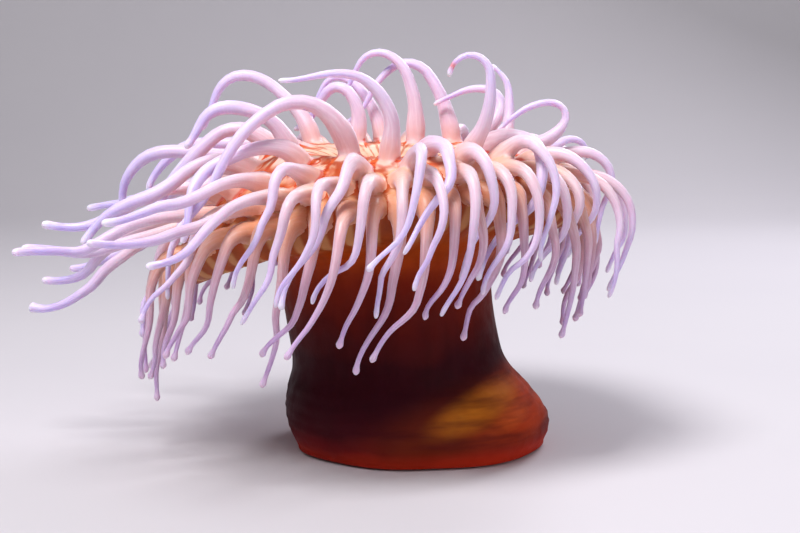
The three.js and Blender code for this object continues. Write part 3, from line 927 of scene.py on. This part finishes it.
def new_material(name):
    """New material: itself, its tree, its shader and the place on the object."""
    material = bpy.data.materials.new(name)
    material.use_nodes = True
    tree = material.node_tree
    tree.nodes.clear()
    shader = tree.nodes.new("ShaderNodeBsdfPrincipled")
    node("ShaderNodeOutputMaterial", {"Surface": shader.outputs[0]})
    return material, tree, shader, node("ShaderNodeTexCoord", {}, tree).outputs["Object"]


def connect(tree, shader, colour, rough, height, strength, distance):
    """Gives a skin's shader its colour, roughness and bump."""
    bump = node("ShaderNodeBump", {"Height": height, "Strength": strength, "Distance": distance})
    tree.links.new(colour, shader.inputs["Base Color"])
    tree.links.new(rough, shader.inputs["Roughness"])
    tree.links.new(bump.outputs[0], shader.inputs["Normal"])


def set_constants(shader, values):
    for key, value in values.items():
        shader.inputs[key].default_value = value


# ---- column and disc ----

COLUMN_ZONES = [      # along the outline, from the foot's middle to the throat
    (0.0, "#4a1012"), (0.071, "#a8261a"), (0.095, "#a82818"), (0.124, "#6e161a"),
    (0.167, "#420c15"), (0.238, "#330913"), (0.325, "#380a12"), (0.352, "#571410"),
    (0.376, "#7c220d"), (0.4, "#a03a0d"), (0.4286, "#a8420f"), (0.457, "#a84716"),
    # from 0.5 to 0.64, under and round the rim, the skin's orange is darkened and browned: painted
    # shade
    (0.5, "#a3481c"), (0.548, "#a64f24"), (0.6, "#b05628"), (0.64, "#c07444"), (0.67, "#dba47a"),
    (0.70, "#efcbaa"), (0.738, "#f3d4ba"), (0.81, "#eab08e"), (0.857, "#d8745a"),
    (0.905, "#bd4632"), (0.97, "#5c1512"),
]
# painted light: highlight patches on the right of the foot
PAINTED_FOOT_LIGHT = [         # centre and reach in metres, colour, strength
    ((0.020, -0.044, 0.010), (0.066, 0.064, 0.024), "#70280f", 0.9),
    ((0.052, -0.024, 0.007), (0.042, 0.070, 0.025), "#b83e16", 1.0),
    ((0.031, -0.045, 0.0155), (0.031, 0.050, 0.0110), "#cc7a20", 0.95),
    ((0.044, -0.038, 0.0055), (0.016, 0.03, 0.006), "#dd6428", 0.8),
]
PAINTED_LIGHT_SLOPE = 0.32     # the patches climb by this much for each step along X
RIM_RIBS = 50.0       # ribs under the rim, and rays on the disc, all the way round
# stations at which a mark starts, is full, begins to fade and has gone
RIBS_AT = (9.4, 10.8, 12.4, 13.4)
RAYS_AT = (13.6, 14.6, 17.0, 17.6)
VALLEY_SHADE_AT = (12.0, 13.0, 14.4, 15.2)
PETALS_AT = (11.5, 13.0, 15.4, 16.2)
CLEFTS_AT = (11.2, 12.4, 14.8, 15.6)
LINES_AT = (12.4, 13.4, 16.8, 17.4)
PETAL_EDGE = (0.06, 0.16, 0.2, 0.32)  # for a petal's edge, by height of the mound it lies on


def column_colour(place, station):
    """Colour by station, with painted shade under the rim. On the column the borders between the
    zones waver.
    """
    zone = plus(station, times(wander(place, 35.0, 1.1), remap(station, 9.5, 8.0)))
    return ramp(calc("DIVIDE", zone, LAST_STATION), COLUMN_ZONES)


def paint_foot_light(place, axes, colour):
    """Painted highlights: long brown, red-orange and yellow streaks on the foot's right. Its edge is
    red.
    """
    slanted = stretched(place, (0.6, 0.6, 4.0), (0.0, 0.22, 0.0))
    strength = remap(noise(slanted, 38.0, 3.0, 0.6), 0.3, 0.62, 0.35, 1.0)
    sloped = combine(axes[0], axes[1], minus(axes[2], times(axes[0], PAINTED_LIGHT_SLOPE)))
    for centre, reach, code, share in PAINTED_FOOT_LIGHT:
        mask = times(patch(sloped, centre, reach), share)
        colour = mix(times(mask, strength, True), colour, code)
    low = remap(axes[2], 0.010, 0.002)
    edge = times(low, remap(axes[0], -0.045, 0.04, 0.1, 0.9))
    return mix(edge, colour, "#c03018")


def column_streaks(place, station, colour):
    """Faint darker streaks down the column."""
    upright = stretched(place, (1.0, 1.0, 0.12))
    streaks = remap(noise(upright, 120.0, 3.0, 0.6), 0.4, 0.7, 0.0, 0.4)
    dark = mix(0.5, colour, "#6e1c20", "MULTIPLY")
    return mix(times(streaks, remap(station, 4.5, 6.5)), colour, dark)


def ribs_and_rays(place, axes, station, colour):
    """Cream ribs under the rim and fine orange rays on the disc."""
    azimuth = calc("ARCTAN2", axes[1], plus(axes[0], -LEAN * MM))
    ribs = calc("COSINE", times(minus(azimuth, rad(TURN)), RIM_RIBS))
    ribs = remap(ribs, -0.2, 0.9, 0.0, 0.5)
    colour = mix(times(between(station, RIBS_AT), ribs), colour, "#dfae74")
    turned = plus(times(azimuth, RIM_RIBS), times(noise(place, 60.0), 9.0))
    rays = remap(calc("COSINE", turned), 0.35, 0.95, 0.0, 0.7)
    rays = times(rays, remap(noise(place, 110.0), 0.35, 0.55, 0.2, 1.0))
    return mix(times(rays, between(station, RAYS_AT)), colour, "#b9521f")


def shaded_valleys_and_petals(tree, place, station, colour):
    """Orange painted shade between the roots, and pale petals with scarlet edges before the upper
    ones.
    """
    # painted shade: the disc darkened to orange between the roots
    valley_shade = times(remap(read(tree, "gap"), 2.0, 5.5), between(station, VALLEY_SHADE_AT))
    colour = mix(times(valley_shade, 0.5), colour, "#c4622f")
    skirt = plus(read(tree, "skirt"), wander(place, 150.0, 0.25))
    front = between(station, PETALS_AT)
    petal = times(remap(skirt, 0.2, 0.6, 0.0, 0.8), front)
    colour = mix(petal, colour, "#efc6ba")
    edge = times(between(skirt, PETAL_EDGE), front)
    return mix(times(edge, 0.75), colour, "#c2491f")


def root_marks(tree, groups, place, station, colour):
    """The blush round the roots (painted shade on the last cycle), the clefts between them and the
    scarlet lines beside them.
    """
    near = times(remap(read(tree, "gap"), 0.0, 2.4, 0.9, 0.0), remap(station, 11.0, 12.5))
    colour = mix(near, colour, root_colour(tree, groups, place))
    cleft = times(cleft_mask(tree, groups, place), between(station, CLEFTS_AT))
    colour = mix(cleft, colour, "#b0451d")
    lines = times(line_mask(tree, groups, place), between(station, LINES_AT))
    shade = remap(noise(place, 180.0), 0.4, 0.6)
    return mix(lines, colour, mix(shade, "#bd3c1c", "#d4602c"))


def body_material(groups):
    material, tree, shader, place = new_material("column and disc skin")
    axes = node("ShaderNodeSeparateXYZ", {0: place}).outputs
    station = read(tree, "station")
    colour = column_colour(place, station)
    # painted light on the right of the foot
    colour = paint_foot_light(place, axes, colour)
    colour = column_streaks(place, station, colour)
    colour = ribs_and_rays(place, axes, station, colour)
    colour = mottled(groups, place, colour, 0.6, "#c98a6a", 70.0, 0.35)
    # painted shade between the roots, and the petals
    colour = shaded_valleys_and_petals(tree, place, station, colour)
    colour = root_marks(tree, groups, place, station, colour)
    rough = use(groups["moisture"], {"Place": place, "Wet": 0.5, "Dry": 0.65})
    height = use(groups["relief"], {"Place": place, "Grain Scale": 700.0, "Fold Scale": 210.0,
                                    "Fold Share": 0.6})
    connect(tree, shader, colour, rough, height, 0.3, 0.001)
    tree.links.new(remap(station, 9.0, 12.0, 0.0, 0.15), shader.inputs["Coat Weight"])
    set_constants(shader, {
        "Subsurface Weight": 0.2, "Subsurface Radius": (1.0, 0.2, 0.08), "Subsurface Scale": 0.005,
        "Coat Roughness": 0.25, "Specular IOR Level": 0.06,
    })
    return material


# ---- tentacles ----

INNER_SHAFT = [       # from root to tip
    (0.0, "#e2bcbe"), (0.09, "#e3c0c7"), (0.22, "#e2c8d7"), (0.42, "#e0cee8"), (0.7, "#dccff4"),
    (0.9, "#cec2f5"), (0.965, "#e2dafb"), (1.0, "#f2edfd"),
]
OUTER_SHAFT = [
    (0.0, "#efb592"), (0.14, "#f3ceb8"), (0.3, "#f0d5d0"), (0.5, "#e6d0de"), (0.75, "#dacdf2"),
    (0.9, "#cdc1f5"), (0.965, "#e2dafb"), (1.0, "#f2edfd"),
]
ROOT_CLIMB = 7.0      # the root's colour climbs this far on the first cycle,
ROOT_CLIMB_MORE = 14.0  # and this much further on the last


def shaft_lanes(tree, tint, span):
    """Place on a tentacle's skin, drawn out along its shaft and different on each."""
    across, behind = (times(read(tree, name), 1.6) for name in ("round_x", "round_y"))
    return combine(across, behind, plus(times(span, 0.03), times(tint, 40.0)))


def shaft_colour(tree, cycle):
    """Colour along the shaft, darkened and made rosier on the lowest cycles as painted shade under
    the crown.
    """
    inner, outer = (ramp(read(tree, "along"), stops) for stops in (INNER_SHAFT, OUTER_SHAFT))
    shaft = mix(remap(cycle, 0.2, 1.0), inner, outer)
    # painted shade: a darker, rosier copy of the shaft for the lowest cycles
    rosy_shade = mix(1.0, shaft, "#d6a8ac", "MULTIPLY")
    return mix(remap(cycle, 0.62, 1.0, 0.0, 0.6), shaft, rosy_shade)


def shaft_streaks(lane, tint, colour):
    """Pale streaks and dusky patches along the shaft, and a small change from one to the next."""
    streaks = remap(noise(lane, 2.2, 3.0, 0.6), 0.42, 0.66)
    colour = mix(times(streaks, 0.28), colour, "#fdf8fc")
    dusk = remap(noise(lane, 3.4), 0.5, 0.7, 0.0, 0.18)
    colour = mix(dusk, colour, mix(0.7, colour, "#d9b6d2", "MULTIPLY"))
    return mix(remap(tint, -1.0, 1.0, 0.0, 0.14), colour, "#c9b8ea")


def shaft_marks(tree, groups, place, lane, span, cycle, colour):
    """The root's colour up the shaft (painted shade on the last cycle), the lines and clefts at the
    root and one stained tip.
    """
    climb = plus(times(cycle, ROOT_CLIMB_MORE), ROOT_CLIMB)
    ragged = times(noise(lane, 2.5), 6.0)
    height = plus(span, minus(ragged, 6.0))
    low = calc("SUBTRACT", 1.0, calc("DIVIDE", height, climb), True)
    colour = mix(times(low, 0.85), colour, root_colour(tree, groups, place))
    colour = mix(times(line_mask(tree, groups, place), 0.8), colour, "#d9502e")
    cleft = times(cleft_mask(tree, groups, place), times(remap(span, 7.0, 2.0), 0.8))
    colour = mix(cleft, colour, "#bd5a30")
    return mix(times(read(tree, "band"), 0.8), colour, "#d4694f")


def tentacle_material(groups):
    material, tree, shader, place = new_material("tentacle skin")
    span, cycle, tint = read(tree, "span"), read(tree, "cycle"), read(tree, "tint")
    lane = shaft_lanes(tree, tint, span)
    colour = shaft_colour(tree, cycle)
    colour = shaft_streaks(lane, tint, colour)
    colour = shaft_marks(tree, groups, place, lane, span, cycle, colour)
    colour = mottled(groups, place, colour, 0.35, "#dcb8cc", 140.0, 0.3)
    rough = use(groups["moisture"], {"Place": place, "Wet": 0.34, "Dry": 0.5})
    height = use(groups["relief"], {"Place": place, "Grain Scale": 1100.0, "Fold Scale": 380.0,
                                    "Fold Share": 0.5})
    # faint rings round the shaft
    rings = calc("SINE", plus(times(span, 3.6), times(noise(lane, 3.0), 7.0)))
    height = plus(height, times(rings, 0.1))
    connect(tree, shader, colour, rough, height, 0.22, 0.0006)
    set_constants(shader, {
        "Subsurface Weight": 0.8, "Subsurface Radius": (1.0, 0.7, 0.8), "Subsurface Scale": 0.003,
        "Coat Weight": 0.12, "Coat Roughness": 0.25, "Specular IOR Level": 0.35,
        "Sheen Weight": 1.0, "Sheen Roughness": 0.25, "Sheen Tint": tone("#ebe2ff"),
    })
    return material


# ---- studio, in metres ----

FLOOR_FRONT, FLOOR_BACK = -1.2, 0.9  # the flat floor's ends along Y
FLOOR_SIDE = 2.2      # half its width
BACKDROP_BEND = 0.5   # radius of the bend up into the backdrop
BACKDROP_TOP = 2.2
FLOOR_GAP = 0.2       # millimetres between the floor and the foot
MIDDLE = (0, 0, 0.1)  # the lamps point here
AIM = Vector((-0.0045, 0, 0.080))  # and the camera here
CAMERA_AWAY = 0.72
CAMERA_TILT = math.radians(8)


def studio_floor():
    """Pale floor that curves up into a backdrop."""
    profile = [(FLOOR_FRONT, 0.0), (FLOOR_BACK, 0.0)]
    for a in np.linspace(0, math.pi / 2, 13)[1:]:
        profile.append((FLOOR_BACK + BACKDROP_BEND * math.sin(a), BACKDROP_BEND * (1 - math.cos(a))))
    profile.append((FLOOR_BACK + BACKDROP_BEND, BACKDROP_TOP))
    vertices = [(x / MM, y / MM, z / MM - FLOOR_GAP)
                for y, z in profile for x in (-FLOOR_SIDE, FLOOR_SIDE)]
    faces = [(2 * i, 2 * i + 1, 2 * i + 3, 2 * i + 2) for i in range(len(profile) - 1)]
    sweep = make_object("floor", vertices, faces)
    sweep.data.polygons.foreach_set("use_smooth", [True] * len(faces))
    material, tree, shader, place = new_material("pale floor")
    dust = remap(noise(place, 5.0, 3.0), 0.3, 0.7, 0.0, 0.2)
    tree.links.new(mix(dust, "#cfccce", "#c6c3c7"), shader.inputs["Base Color"])
    set_constants(shader, {"Roughness": 0.7})
    sweep.data.materials.append(material)


def aimed(name, data, place, target):
    """Object of a lamp or camera at one place, turned toward another."""
    obj = bpy.data.objects.new(name, data)
    obj.location = place
    obj.rotation_euler = (Vector(target) - Vector(place)).to_track_quat("-Z", "Y").to_euler()
    bpy.context.scene.collection.objects.link(obj)
    return obj


def lamp(name, place, size, power, colour):
    """Round soft lamp that points at the middle of the object."""
    light = bpy.data.lights.new(name, "AREA")
    light.shape = "DISK"
    light.size = size
    light.energy = power
    light.color = colour
    aimed(name, light, place, MIDDLE)


def room_light():
    world = bpy.data.worlds.new("soft room")
    world.use_nodes = True
    background = world.node_tree.nodes["Background"]
    background.inputs["Color"].default_value = (0.80, 0.79, 0.85, 1)
    background.inputs["Strength"].default_value = 0.31
    bpy.context.scene.world = world
    bpy.context.scene.view_settings.view_transform = "Standard"


def camera():
    lens = bpy.data.cameras.new("camera")
    lens.lens = 72
    lens.sensor_width = 36
    place = AIM + CAMERA_AWAY * Vector((0, -math.cos(CAMERA_TILT), math.sin(CAMERA_TILT)))
    bpy.context.scene.camera = aimed("camera", lens, place, AIM)


# ---- assembly ----

groups = {"mottle": mottle_group(), "relief": relief_group(), "moisture": moisture_group(),
          "lines": lines_group(), "root": root_group(), "cleft": cleft_group()}
tentacles = plant_tentacles()
settle(tentacles)
anemone = body_object(tentacles)
anemone.data.materials.append(body_material(groups))
anemone.data.materials.append(tentacle_material(groups))
join_tentacles(anemone, tentacles)
soften_creases(anemone)
measure(anemone, tentacles)
anemone.data.polygons.foreach_set("use_smooth", [True] * len(anemone.data.polygons))

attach(anemone, "root")
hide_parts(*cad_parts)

studio_floor()
lamp("key", (-0.3, -0.4, 1.0), 0.42, 12.2, (0.98, 0.96, 1.0))
lamp("fill", (0.9, -0.9, 0.45), 0.9, 3, (0.95, 0.93, 1.0))
lamp("rim", (0.5, 0.8, 0.75), 0.5, 7, (0.92, 0.9, 1.0))
room_light()
camera()
